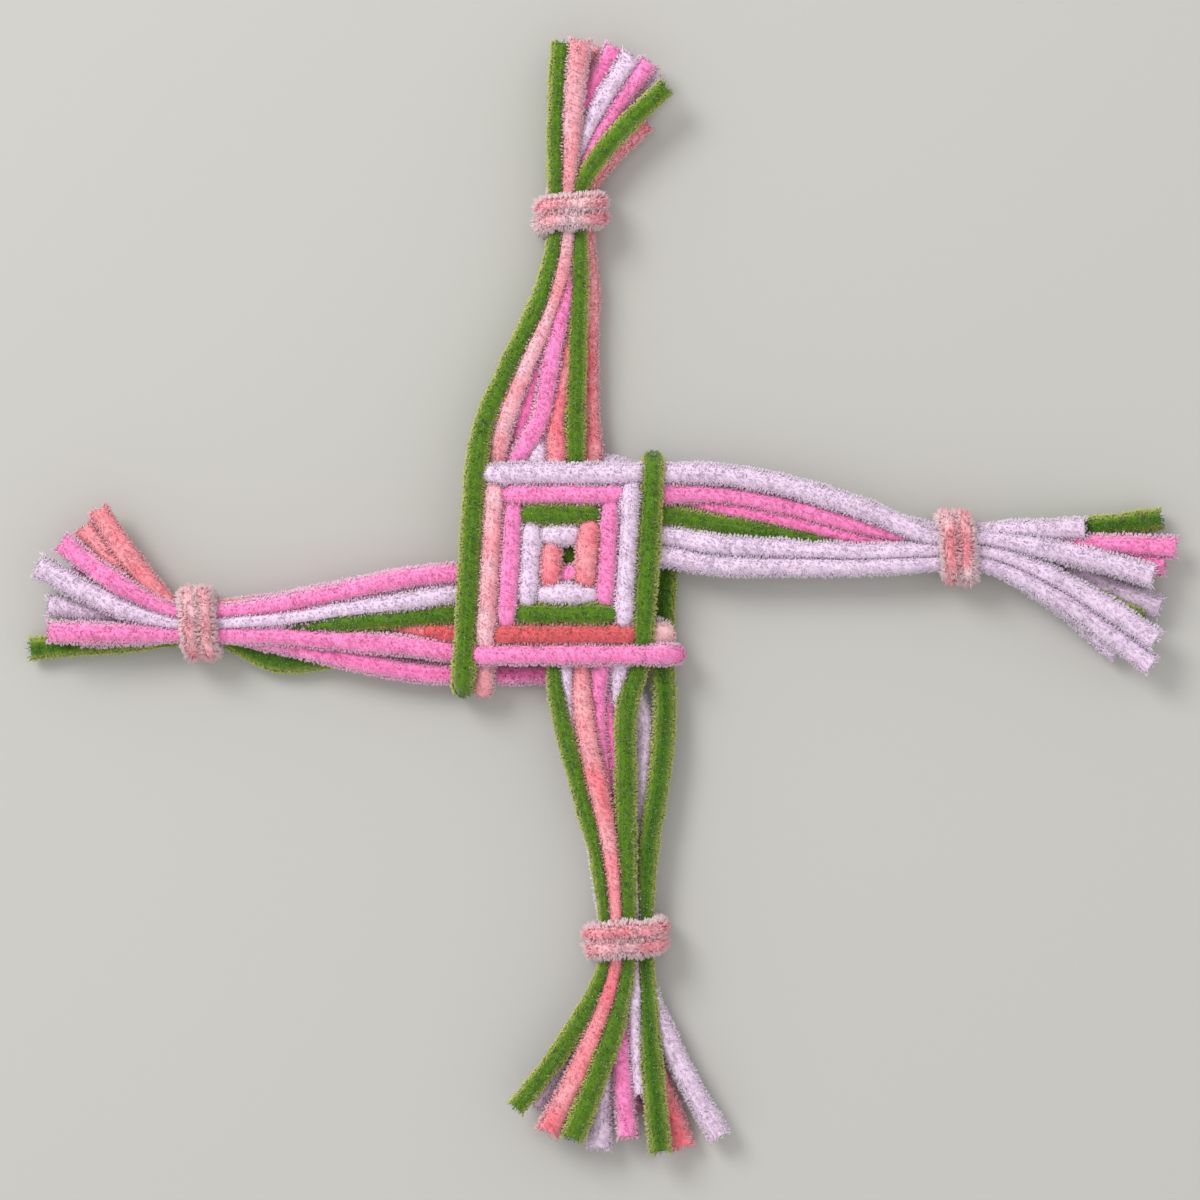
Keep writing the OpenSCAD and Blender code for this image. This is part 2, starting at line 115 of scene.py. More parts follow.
# Legs of each arm, front and back in turn: [layer and place in the tie, [sideways bow in three
# rows, lift]], and the cut end's [distance short of the arm's reach, place across, height].
straight = [0, 0, 0, 0]
LEG_ROWS = [
    [[[1, -1.5, [-2, -1.6, -0.8, 0]], [5.5, -23.3, 2]], [[-1, -1, straight], [12.3, -20.5, -2.7]],
     [[1, -0.35, [-1.8, -1.8, -1.2, 0]], [4.8, -17.8, 3]], [[-1, 0, straight], [3.1, -10.8, -2.7]],
     [[0, -1.5, [-1, 0, 0.2, 0]], [7.7, -13.6, -0.4]], [[-1, 1, straight], [2.9, 8.8, -2]],
     [[0, 0.5, [1.1, 2, 1.6, 0.4]], [0, 2.6, 0.6]],
     [[0, -0.5, [-1.1, -0.6, 0, -0.4]], [2.4, -1.3, -0.3]],
     [[1, 0.8, [1.7, 3.8, 4, 0]], [5.3, -3.7, 3]], [[0, 1.5, [1, 2.2, 2, 0]], [20, 6.6, 1.4]]],
    [[[0, -2, straight], [0.4, 7.7, -1]], [[-1, -1, straight], [9.5, -6.4, -2.7]],
     [[1, -0.95, straight], [4.4, -3.5, 2.5]], [[-1, 0.5, straight], [0.4, 26.2, -3]],
     [[0, -1.15, [-1.1, -0.6, 0, 0.4]], [3.1, 14.1, 0.3]],
     [[0, -0.1, [1.1, 0.6, 0, -0.4]], [8.1, 15, -3.2]],
     [[0, 0.8, [0, 0, 0, -1.5]], [12.3, 17.3, 0]], [[-1, 1.5, [4, 3, 1, 0]], [2.9, 34.3, -1]],
     [[1, 0.1, [-2.9, -2.1, -0.8, 0]], [3.1, 1.8, 4]], [[0, 1.9, [1.2, 1.2, 0, 0]], [0, 21.2, 2.2]]],
    [[[1, -1.15, straight], [7.7, -3.7, 3.4]], [[-1, -1.5, straight], [9.6, 2, -3.2]],
     [[1, 0.05, [1, 0.8, 0, 0]], [2.4, 1.5, 2.7]], [[-1, -0.5, straight], [4.2, 10.1, -1]],
     [[-1, 0.5, [0.4, 0.4, 0.4, 4.4]], [14.6, 14.4, -3.4]], [[-1, 1.5, [0.8, 6, 6, -0.9]], [0, 19.8, -3]],
     [[0, -1.5, [-1.2, -1.2, -0.4, -0.5]], [15.4, -10.8, 1.5]],
     [[0, -0.5, [1.5, 0.6, -0.2, -1.1]], [12.1, -7, -0.2]],
     [[1, 1.1, [-1.2, -1, -0.4, 0]], [4.9, 16, 3.5]], [[0, 1, [0.4, 0.8, 0.8, 0]], [11.6, 17, -0.3]]],
    [[[0, -1.5, [0.5, 0, 0.8, 0.6]], [17.4, -13.5, -0.2]], [[-1, -1.5, [0, 0, -0.6, 0]], [17, -17.5, -3]],
     [[-1, -0.5, [-0.3, 0, 0, -1.4]], [5.9, -19.8, -3.2]], [[0, 0.5, [0, 0, 0, -1.4]], [3.1, -14.8, 1.2]],
     [[0, -0.5, [-4, -2.2, 0, 2]], [4.4, -18.6, 0.7]],
     [[0, 1.5, [-0.6, -0.8, -0.4, 0.4]], [1.1, -11.2, -0.3]],
     [[1, 0.3, straight], [0, -3.5, 3.4]], [[-1, 0.5, [-0.6, -1, 0, 0]], [0.2, -6.2, -4]],
     [[1, 1.4, straight], [0.2, 0.2, 1.6]], [[-1, 1.5, straight], [7.4, 0.5, -2.7]]]]
# The straight stem's legs, up and down.
CORE_ROWS = [[[1, -0.9, straight], [10.1, -22.4, 3.4]], [[1, -1.95, straight], [9.5, -10.5, 2.5]]]


# Routes: rows of [out along the arm, across it, height, reach of the pile].
def ease(t):
    t = min(max(t, 0), 1)
    return t * t * (3 - 2 * t)


def keyed(keys, x):
    """The eased height at x between keys of (place, height)."""
    i = 0
    while i < len(keys) - 2 and x >= keys[i + 1][0]:
        i += 1
    (xa, ya), (xb, yb) = keys[i], keys[i + 1]
    return ya + (yb - ya) * ease((x - xa) / (xb - xa))


def sign(x):
    return (x > 0) - (x < 0)


def before(arm):
    return (arm + 3) % ARMS


def after(arm):
    return (arm + 1) % ARMS


def lane(arm, rank):
    return LANE_PITCH * (rank + LEAD[arm])


def spread(arm, rank):
    """How far the last stems of two arms open between their legs."""
    return LANE_PITCH if rank == RANKS - 1 and arm in (BOTTOM, LEFT) else 0


def leg_lane(arm, rank, face):
    return lane(arm, rank) + (spread(arm, rank) if face == BACK else 0)


def aside(arm, rank, face, u):
    """How far a back leg gives way sideways."""
    if face == FRONT:
        return 0
    if arm == RIGHT and rank == RANKS - 1 and abs(u - BULGE_AT) < BULGE_HALF:
        return BULGE * math.cos(math.radians(90 / BULGE_HALF * (u - BULGE_AT))) ** 2
    if arm == TOP and rank < len(TOP_STEPS):
        size, start, long = TOP_STEPS[rank]
        return size * ease((u - start) / long)
    return 0


def leaned(arm, rows):
    """Rows with the lean of the upright lanes."""
    return [[u + LEAN * v, v, *rest] if arm % 2 == 0 else [u, v - LEAN * u, *rest]
            for u, v, *rest in rows]


def weave_edge(arm):
    return lane(after(arm), RANKS - 1) + PILE_WIDTH / 2 + EDGE_ROOM


def on_knot(arm, rank):
    """Whether a fold goes round the knot's second stem."""
    return arm == LEFT and rank == 0


def far_side(arm, rank):
    """The lane that a fold goes round."""
    wraps = rank - 1 if arm == RIGHT else rank
    if on_knot(arm, rank):
        return KNOT_LANE - KNOT_BEND[1]
    return lane(before(arm), wraps) + spread(before(arm), wraps)


def loop_length(arm, rank):
    if rank == RANKS - 2 and arm in LONG_LOOPS:
        return LONG_LOOPS[arm]
    return (KNOT_WIDTH + FOLD_PILE) / 2 + FOLD_GAP if on_knot(arm, rank) else FOLD_REACH


def fold_tuft(arm, rank):
    return POMPOM if arm == LEFT and rank == RANKS - 2 else FOLD_TUFT


def lift_over(arm, rank):
    """Height of a leg over the arm before it."""
    if on_knot(arm, rank):
        return PAIR_OVER
    return OVER_LIFT + HIGH_LEG if arm == BOTTOM and rank == 1 else OVER_LIFT


def lift_past(arm, rank):
    """Height of a leg over the last stem that it crosses before it is locked."""
    tight = rank == RANKS - 1 and arm != RIGHT or rank == 1 and arm == BOTTOM
    return OVER_LIFT - (TIGHT_DIP if tight else DIP)


def lift_keys(arm, rank):
    lock = rank + 1 if arm == TOP else rank
    near = far_side(arm, rank) if on_knot(arm, rank) else lane(before(arm), 0)
    keys = [(-near, lift_over(arm, rank))]
    if lock > 0 and lane(after(arm), lock - 1) > -near + LOCK_ROOM:
        keys.append((lane(after(arm), lock - 1), lift_past(arm, rank)))
    if lock < RANKS:
        keys.append((lane(after(arm), lock), UNDER_LIFT))
    return keys


def fold_points(arm, rank, face):
    side, out = lane(arm, rank), far_side(arm, rank)
    reach, high = loop_length(arm, rank), lift_over(arm, rank)
    if reach > FOLD_REACH:
        tuft = fold_tuft(arm, rank)
        return [[-out - reach + LOOP_END[0], side, face * LOOP_END[1], tuft],
                [-out - reach + LOOP_LOW, side, face * UNDER_LIFT, (tuft + WEAVE_PILE) / 2],
                [-out - LANE_PITCH, side, face * UNDER_LIFT, WEAVE_PILE],
                [-out - FOLD_REACH, side, face * (UNDER_LIFT + LOOP_RISE), WEAVE_PILE],
                [-out - FOLD_REACH / 2, side, face * LOOP_SHOULDER * high, WEAVE_PILE]]
    return [[-out - reach * math.sin(t), side, face * high * math.cos(t), FOLD_TUFT]
            for t in FOLD_ANGLES]


def weave_points(arm, rank, face):
    side, start, keys = leg_lane(arm, rank, face), lane(arm, rank), lift_keys(arm, rank)
    out, high = far_side(arm, rank), lift_over(arm, rank)
    near, (end, low), edge = -keys[0][0], keys[-1], weave_edge(arm)
    rows = []
    if out > near + SHORT_SPAN:
        rows.append([-out, start, face * high, WEAVE_PILE])
    if out > near + LONG_SPAN:
        rows.append([-(out + near) / 2, (start + side) / 2, face * high, WEAVE_PILE])
    for (ua, _), (ub, _) in zip(keys, keys[1:]):
        for t in KEY_STEPS:
            u = ua + t * (ub - ua)
            rows.append([u, side + aside(arm, rank, face, u), face * keyed(keys, u), WEAVE_PILE])
    rows.append([end, side, face * low, WEAVE_PILE])
    if end < edge - RUN_OUT:
        for u in [end + RUN_OUT, (end + edge) / 2, edge] if edge > end + LONG_RUN else [edge]:
            rows.append([u, side + aside(arm, rank, face, u), face * low, WEAVE_PILE])
    return rows


def knot_one(face):
    """The first folded stem, closed on the straight stem."""
    side = lane(RIGHT, 0)
    turn = [[CORE_X - KNOT_REACH * math.sin(t), side, face * KNOT_LIFT * math.cos(t), KNOT_TUFT]
            for t in FOLD_ANGLES]
    return turn + [
        [CORE_X + KNOT_PAST, side, face * KNOT_LIFT, KNOT_TUFT],
        [KNOT_LANE - KNOT_NEAR, side, face * PAIR_LIFT, KNOT_TUFT],
        [lane(BOTTOM, 1) + KNOT_OPEN, side, face * PAIR_LIFT, WEAVE_PILE],
        [lane(BOTTOM, 2), side, face * UNDER_LIFT, WEAVE_PILE],
        [weave_edge(RIGHT), side, face * UNDER_LIFT, WEAVE_PILE]]


def knot_two(face):
    """The second folded stem, closed on the first."""
    out, edge = lane(RIGHT, 0), weave_edge(BOTTOM)
    low = lane(LEFT, 0) - PILE_WIDTH / 2 - LEG_GAP
    bend = [KNOT_LANE - drift for drift in KNOT_BEND]
    turn = [[-out - PAIR_REACH * math.sin(t), KNOT_LANE, face * PAIR_OVER * math.cos(t), KNOT_TUFT]
            for t in FOLD_ANGLES]
    return turn + [
        [-out, KNOT_LANE, face * PAIR_OVER, KNOT_TUFT],
        [-out + KNOT_WIDTH / 4, KNOT_LANE, face * PAIR_OVER, KNOT_TUFT],
        [low, bend[0], face * (PAIR_LIFT + KNOT_SINK), KNOT_TUFT],
        [lane(LEFT, 0), bend[1], face * PAIR_LIFT, KNOT_TUFT],
        [lane(LEFT, 1), bend[2], face * PAIR_LIFT, WEAVE_PILE],
        [(lane(LEFT, 1) + edge) / 2, bend[3], face * UNDER_LIFT, WEAVE_PILE],
        [edge, bend[4], face * UNDER_LIFT, WEAVE_PILE]]


def arm_points(arm, row, start):
    """A leg from the weave's edge through the tie to its cut end."""
    (layer, place, bow), (short, tip_v, tip_z) = row
    tie, z, v = TIE_AT[arm], layer * SLOT_PITCH, TIE_SIDE[arm] + place * SLOT_PITCH
    end = ARM_REACH[arm] - short
    u0, v0, z0 = start[:3]
    rows = []
    for i, t in enumerate(ARM_STEPS):
        rows.append([u0 + t * (tie - TIE_HALF - u0), v0 + ease(t) * (v - v0) + bow[i],
                     z0 + ease(t * SETTLE) * (z - z0) + bow[3] * math.sin(math.pi * t), ARM_PILE])
    rows += [[tie + s, v, z, BUNDLE_TUFT] for s in (-TIE_HALF, TIE_HALF)]
    for t in TASSEL_STEPS:
        rows.append([tie + TIE_HALF + t * (end - tie - TIE_HALF), v + t ** FAN_OUT * (tip_v - v),
                     z + ease(t * RISE) * (tip_z - z),
                     BUNDLE_TUFT + ease(t * FLUFF) * (TIP_PILE - BUNDLE_TUFT)])
    return rows


def leg(arm, rank, face):
    if rank == 0 and arm == RIGHT:
        inner = knot_one(face)
    elif rank == 0 and arm == BOTTOM:
        inner = knot_two(face)
    else:
        inner = fold_points(arm, rank, face) + weave_points(arm, rank, face)
    inner = leaned(arm, inner)
    return inner + arm_points(arm, LEG_ROWS[arm][2 * rank + (face == BACK)], inner[-1])


def folded_route(arm, rank):
    if rank == 0 and arm == RIGHT:
        tip = [CORE_X - KNOT_REACH, lane(RIGHT, 0), 0, KNOT_TUFT]
    elif rank == 0 and arm == BOTTOM:
        tip = [-lane(RIGHT, 0) - PAIR_REACH, KNOT_LANE, 0, KNOT_TUFT]
    else:
        tip = [-far_side(arm, rank) - loop_length(arm, rank), lane(arm, rank), 0, fold_tuft(arm, rank)]
    return leg(arm, rank, FRONT)[::-1] + leaned(arm, [tip]) + leg(arm, rank, BACK)


def core_route():
    """The straight stem, from the top arm down through the weave."""
    up = [[lane(RIGHT, 1), -CORE_X, 0, WEAVE_PILE],
          [lane(RIGHT, 2), -CORE_X - CORE_UP[0], UNDER_LIFT, WEAVE_PILE],
          [weave_edge(TOP), -CORE_X - CORE_UP[1], UNDER_LIFT, WEAVE_PILE]]
    down = [[lane(LEFT, 0), CORE_LEAN + CORE_DOWN[0], 0, WEAVE_PILE],
            [lane(LEFT, 1), CORE_LEAN + CORE_DOWN[1], 0, WEAVE_PILE],
            [weave_edge(BOTTOM), CORE_LEAN, UNDER_LIFT, WEAVE_PILE]]
    up, down = leaned(TOP, up), leaned(BOTTOM, down)
    top = up + arm_points(TOP, CORE_ROWS[0], up[-1])
    low = down + arm_points(BOTTOM, CORE_ROWS[1], down[-1])
    return top[::-1] + [[0, -CORE_X, 0, EYE_PILE]] + [[-u, -v, z, r] for u, v, z, r in low]


def squarish(x):
    return sign(x) * abs(x) ** TIE_CORNER


def tie_route(arm):
    """Turns round the legs of an arm, with a straight bit at both ends."""
    half = SLOT_PITCH * TIE_LEGS[arm] + BUNDLE_PILE / 2
    wide, steps = half + TIE_SIDE_GAP + TIE_PILE / 2, round(TIE_TURNS * TIE_STEPS)
    body = []
    for i in range(steps + 1):
        turn = TIE_TURNS * i / steps
        body.append([TIE_AT[arm] + (turn - TIE_TURNS / 2) * (TIE_PILE + TURN_GAP),
                     TIE_SIDE[arm] + wide * squarish(math.cos(math.tau * turn)),
                     TIE_TALL * squarish(math.sin(math.tau * turn))])
    body = np.array(body)
    first, last = (a + TIE_PILE * (a - b) / np.linalg.norm(a - b)
                   for a, b in ((body[0], body[1]), (body[-1], body[-2])))
    return [[*p, WOUND_PILE] for p in [first, *body, last]]


# Smooth centrelines, with a sideways and an outward direction at every step.
STEP, SPLINE_STEPS, LEAST_SPAN = 0.25, 60, 1e-3
OWN_FAR = 7.5
ROOM_STEP, ROOM_WAYS, ROOM_FAR, FLOOR_ROOM = 4, 24, 7.0, 0.08
ROOM_LEAST, ROOM_MOST, LEAST_TOWARD, LEAST_DOWN = 0.3, 9.0, 0.05, 1e-3


def smooth(rows):
    """A centripetal spline through the rows, cut into even steps, and its length."""
    rows = np.array(rows, float)
    pts = np.vstack([2 * rows[0] - rows[1], rows, 2 * rows[-1] - rows[-2]])
    spans = np.linalg.norm(np.diff(pts[:, :3], axis=0), axis=1)
    knots = np.concatenate([[0], np.cumsum(np.maximum(spans, LEAST_SPAN) ** 0.5)])
    parts = []
    for i in range(1, len(pts) - 2):
        p, k = pts[i - 1:i + 3], knots[i - 1:i + 3]
        t = np.linspace(k[1], k[2], SPLINE_STEPS, endpoint=False)[:, None]
        a = [((k[j + 1] - t) * p[j] + (t - k[j]) * p[j + 1]) / (k[j + 1] - k[j]) for j in range(3)]
        b = [((k[j + 2] - t) * a[j] + (t - k[j]) * a[j + 1]) / (k[j + 2] - k[j]) for j in range(2)]
        parts.append(((k[2] - t) * b[0] + (t - k[1]) * b[1]) / (k[2] - k[1]))
    fine = np.vstack(parts + [rows[-1:]])
    run = np.concatenate([[0], np.cumsum(np.linalg.norm(np.diff(fine[:, :3], axis=0), axis=1))])
    even = np.linspace(0, run[-1], int(round(run[-1] / STEP)) + 1)
    return np.column_stack([np.interp(even, run, fine[:, c]) for c in range(4)]), run[-1]


def unit(v):
    return v / np.linalg.norm(v, axis=-1, keepdims=True)


def heading(angle, side, out):
    """Directions at angles that are measured from side towards out."""
    return np.cos(angle)[..., None] * side + np.sin(angle)[..., None] * out


class Line:
    """A stem's centreline in the part's frame, in millimetres."""

    def __init__(self, rows, arm, across, own_far=OWN_FAR):
        path, self.length = smooth(rows)
        self.own_far = own_far
        a = -math.pi / 2 * arm
        turn = np.array([[math.cos(a), -math.sin(a), 0], [math.sin(a), math.cos(a), 0], [0, 0, 1]])
        self.at = path[:, :3] @ turn.T + [0, 0, TIE_FOOT]
        self.reach = path[:, 3]
        self.along = unit(np.gradient(self.at, axis=0))
        side = turn @ np.array(across, float)
        self.side = unit(side - self.along * (self.along @ side)[:, None])
        self.out = np.cross(self.along, self.side)
        self.run = np.linspace(0, self.length, len(self.at))
        self.room = None

    def steps(self, run):
        """Fractional steps at distances along the line."""
        return run / self.length * (len(self.at) - 1)

    def read(self, values, place):
        """Values at fractional steps."""
        i = np.clip(place.astype(int), 0, len(self.at) - 2)
        f = place - i
        f = f[:, None] if values.ndim > 1 else f
        return values[i] * (1 - f) + values[i + 1] * f

    def frames(self, place):
        return [self.read(x, place) for x in (self.at, self.side, self.out, self.along)]

    def room_at(self, place, angle):
        """The room at fractional steps and at angles round the line."""
        row = np.clip(place / ROOM_STEP, 0, len(self.room) - 1.001)
        col = np.mod(angle, math.tau) / math.tau * ROOM_WAYS
        r, c = row.astype(int), col.astype(int) % ROOM_WAYS
        fr, fc = row - r, col - np.floor(col)
        d = (c + 1) % ROOM_WAYS
        return ((self.room[r, c] * (1 - fc) + self.room[r, d] * fc) * (1 - fr)
                + (self.room[r + 1, c] * (1 - fc) + self.room[r + 1, d] * fc) * fr)


lines = {"stem_00": Line(core_route(), TOP, (0, 1, 0))}
for number in range(1, ARMS * RANKS + 1):
    rank, arm = divmod(number - 1, ARMS)
    lines["stem_%02d" % number] = Line(folded_route(arm, rank), arm, (0, 1, 0))
for arm, name in enumerate(("right", "bottom", "left", "top")):
    lines["tie_%s_arm" % name] = Line(tie_route(arm), arm, (1, 0, 0), math.inf)

# A thin straight stem and a full second stem of the bottom arm, which lies over it.
THIN, FULL = 0.88, 1.08
lines["stem_00"].reach *= THIN
lines["stem_06"].reach *= FULL

# Room of each pile: neighbours share the space between their wires by how far each pile would
# reach, and the floor ends it.
ways = np.arange(ROOM_WAYS) * math.tau / ROOM_WAYS
all_at, all_run, all_pile = (
    np.concatenate([getattr(line, values)[::ROOM_STEP] for line in lines.values()])
    for values in ("at", "run", "reach"))
all_of = np.concatenate([[i] * len(line.run[::ROOM_STEP]) for i, line in enumerate(lines.values())])
for index, line in enumerate(lines.values()):
    rings = range(0, len(line.at), ROOM_STEP)
    room = np.full((len(rings), ROOM_WAYS), ROOM_MOST)
    for row, i in enumerate(rings):
        gap = all_at - line.at[i]
        far = (gap ** 2).sum(1)
        other = (all_of != index) | (np.abs(all_run - line.run[i]) > line.own_far)
        near = (far < ROOM_FAR ** 2) & (all_pile > 2 * KNOT_TUFT) & other
        ray = heading(ways, line.side[i], line.out[i])
        if near.any():
            toward = ray @ gap[near].T
            share = far[near] + line.reach[i] ** 2 - all_pile[near] ** 2
            fair = share / np.maximum(2 * toward, 2 * LEAST_TOWARD)
            room[row] = np.where(toward > LEAST_TOWARD, fair, ROOM_MOST).min(1)
        down = (line.at[i, 2] - FLOOR_ROOM) / np.maximum(-ray[:, 2], LEAST_DOWN)
        room[row] = np.minimum(room[row], np.where(ray[:, 2] < 0, down, ROOM_MOST))
    padded = np.vstack([room[:1], room, room[-1:]])
    line.room = np.clip((padded[:-2] + 2 * room + padded[2:]) / 4, ROOM_LEAST, ROOM_MOST)

# Chenille: two wires twisted together hold a soft body of pile, and bristles stand out of it.
# PILE to TUFT are the places of a piece's materials. STEM_PILE and TIE_FLUFF are bristles for each
# millimetre, the body's share of the reach, and looseness.
PILE, WIRE, SHADED_BAR, TUFT = range(4)
STEM_PILE, TIE_FLUFF = (120, 0.78, 1), (150, 0.55, 2)
SOFT_LONG, SOFT_VARY = 4, 0.04
BODY_SIDES, BODY_STEP, BODY_ROUGH, PRESSED = 12, 0.55, 0.05, 0.94

TWIST, WIRE_SIDES, WIRE_RINGS, WIRE_STARTS = 2.4, 4, 6, (0.25, 0.75)
WIRE_THICK, WIRE_APART, WIRE_BARE, WIRE_FREE, WIRE_LEAST = 0.17, 0.26, 0.6, 1.8, 0.3
GLINT_LONG, GLINT_WIDE, GLINT_TALL, GLINT_OUT, GLINT_LEAST = 0.24, 0.11, 0.08, 0.02, 1.6
GLINT_SHIFT, GLINT_ROLL = 0.12, 0.1
GLINT_FACES = np.array([[4, 1, 0], [4, 2, 1], [4, 3, 2], [4, 0, 3],
                        [5, 0, 1], [5, 1, 2], [5, 2, 3], [5, 3, 0]])

BRISTLE_ROOT, BRISTLE_TIP, BRISTLE_VARY, ROOT_SUNK = 0.23, 0.18, 0.2, 0.06
BRISTLE_FULL, BRISTLE_PAST, BRISTLE_LONGER, BRISTLE_LEAN = 0.97, 1.3, 0.045, 0.03
TUFT_LONG, TUFT_WAYS, TUFT_PULL, TUFT_TURN, TUFT_STAGGER = 0.7, 13, 0.65, 0.35, 0.38
TUFT_LONGER, TUFT_LEAN, FRINGE = 0.04, 0.05, 0.27
END_LONG, END_LEAN, TIP_FLOOR, LOWEST = 1.2, 0.3, 0.04, 0.03

# Bands of the map across a stem, for bristles, body and wires, and how pale a bristle gets. The paleness
# that grows towards the stem's sides is painted light shining through the fibres; the rest varies at
# random from tuft to tuft.
BRISTLE_BAND, BODY_BAND, WIRE_BAND, MAP_HALF = 0.62, (0.68, 0.98), (0.65, 0.01), 0.35
ROOT_PAINTED_LIGHT, TOP_PAINTED_LIGHT, SIDE_PAINTED_LIGHT, TUFT_PALE = 0.6, 0.32, 0.72, 0.12


class Chenille:
    """Triangles of one stem with their map places and slots, and other pile in some stretches."""

    def __init__(self, line, fullness, bristles, share, loose, stretches):
        self.line, self.stretches = line, stretches
        self.bristles, self.share, self.loose = bristles, share, loose
        self.verts, self.faces, self.maps, self.slots, self.count = [], [], [], [], 0
        knots = np.arange(0, line.length + SOFT_LONG, SOFT_LONG)
        soft = np.interp(line.run, knots, 1 + SOFT_VARY * rng.standard_normal(len(knots)))
        self.reach = line.reach * fullness * soft

    def add(self, v, f, uv, slot):
        self.verts.append(v)
        self.faces.append(f + self.count)
        self.maps.append(uv)
        run, chosen = uv[f[:, 0], 0] * self.line.length, np.full(len(f), slot, np.int32)
        for first, last, other in self.stretches if slot == PILE else []:
            chosen[(run > first) & (run < last)] = other
        self.slots.append(chosen)
        self.count += len(v)

    def sleeve(self, centres, rings, uv, end_v, slot):
        """A closed tube through rings of points, with a point at each end."""
        sides = rings.shape[1]
        v = np.vstack([rings.reshape(-1, 3), centres])
        i, k = np.meshgrid(np.arange(len(rings) - 1), np.arange(sides), indexing="ij")
        a, b = i * sides + k, i * sides + (k + 1) % sides
        f = np.vstack([np.stack([a, b, a + sides], -1).reshape(-1, 3),
                       np.stack([b, b + sides, a + sides], -1).reshape(-1, 3)])
        k = np.arange(sides)
        head, tail, base = len(v) - 2, len(v) - 1, (len(rings) - 1) * sides
        f = np.vstack([f, np.stack([(k + 1) % sides, k, np.full(sides, head)], -1),
                       np.stack([base + k, base + (k + 1) % sides, np.full(sides, tail)], -1)])
        self.add(v, f, np.vstack([uv, [[0, end_v], [1, end_v]]]), slot)

    def body(self):
        """The soft body, dented where neighbours press."""
        line, rings = self.line, int(self.line.length / BODY_STEP)
        place = np.linspace(1, len(line.at) - 2, rings)
        at, side, out, _ = line.frames(place)
        fan = np.tile(np.arange(BODY_SIDES) * math.tau / BODY_SIDES, (rings, 1))
        limit = line.room_at(np.repeat(place, BODY_SIDES), fan.ravel()).reshape(fan.shape)
        rough = 1 + BODY_ROUGH * rng.standard_normal(fan.shape)
        radius = np.minimum(self.share * line.read(self.reach, place)[:, None] * rough, PRESSED * limit)
        points = at[:, None] + radius[..., None] * heading(fan, side[:, None], out[:, None])
        from_top = np.abs(np.mod(fan - math.pi / 2 + math.pi, math.tau) - math.pi) / math.pi
        v = BODY_BAND[0] + (BODY_BAND[1] - BODY_BAND[0]) * from_top
        u = np.repeat(line.read(line.run, place) / line.length, BODY_SIDES)
        self.sleeve(line.at[[0, -1]], points, np.column_stack([u, v.ravel()]), BODY_BAND[0], PILE)

    def glints(self):
        """Glints of the wires between the fibres, at every half turn."""
        line = self.line
        run = np.arange(1, line.length - 1, TWIST / 2)
        run = run[np.interp(run, line.run, line.reach) > GLINT_LEAST]
        run = run + GLINT_SHIFT * rng.standard_normal(len(run))
        place = line.steps(run)
        at, side, out, along = line.frames(place)
        f = 6 * np.arange(len(run))[:, None, None] + GLINT_FACES
        du, dv = GLINT_LONG / line.length, WIRE_BAND[1]
        spot = np.array([[du, 0], [0, dv], [-du, 0], [0, -dv], [0, 0], [0, 0]])
        uv = np.column_stack([run / line.length, np.full(len(run), WIRE_BAND[0])])[:, None] + spot
        for way in (FRONT, BACK):
            angle = np.full(len(run), way * math.pi / 2) + GLINT_ROLL * rng.standard_normal(len(run))
            ray = heading(angle, side, out)
            limit = PRESSED * line.room_at(place, angle)
            depth = np.minimum(self.share * line.read(self.reach, place), limit)
            middle = at + (depth + GLINT_OUT)[:, None] * ray
            long, wide, tall = GLINT_LONG * along, GLINT_WIDE * np.cross(ray, along), GLINT_TALL * ray
            v = np.stack([middle + long, middle + wide, middle - long, middle - wide,
                          middle + tall, middle - tall], 1)
            self.add(v.reshape(-1, 3), f.reshape(-1, 3), uv.reshape(-1, 2), WIRE)

    def wires(self):
        """The two wires, bare for a moment at the cut ends."""
        line, rings = self.line, int(self.line.length / TWIST * WIRE_RINGS)
        run = np.linspace(-WIRE_BARE, line.length + WIRE_BARE, rings)
        place = line.steps(run)
        at, side, out, _ = line.frames(place)
        around = np.arange(WIRE_SIDES) * math.tau / WIRE_SIDES
        reach = line.read(line.reach, np.clip(place, 0, len(line.at) - 1))
        squeeze = np.clip(reach / WIRE_FREE, WIRE_LEAST, 1)[:, None]
        uv = np.column_stack([np.repeat(np.clip(run / line.length, 0, 1), WIRE_SIDES),
                              np.tile(WIRE_BAND[0] + WIRE_BAND[1] * np.cos(around), rings)])
        for start in WIRE_STARTS:
            spin = math.tau * (run / TWIST + start)
            middle = at + WIRE_APART * squeeze * heading(spin, side, out)
            points = middle[:, None] + WIRE_THICK * squeeze[..., None] * heading(
                around, side[:, None], out[:, None])
            self.sleeve(middle[[0, -1]], points, uv, WIRE_BAND[0], WIRE)

    def fringe(self):
        """Bristles: slim closed blades that stand out of the body on all sides, in small tufts."""
        line, loose, m = self.line, self.loose, int(self.line.length * self.bristles)
        run = rng.random(m) * line.length
        fan = rng.random(m) * math.tau
        place = line.steps(run)
        angle = fan - FRINGE * np.sin(2 * fan)
        at, side, out, along = line.frames(place)
        way = (angle / math.tau * TUFT_WAYS).astype(int)
        row = run / TUFT_LONG + way * TUFT_STAGGER % 1
        cells = rng.standard_normal((3, int(row.max()) + 1, TUFT_WAYS))
        longer, slant, sway = cells[:, row.astype(int), way]

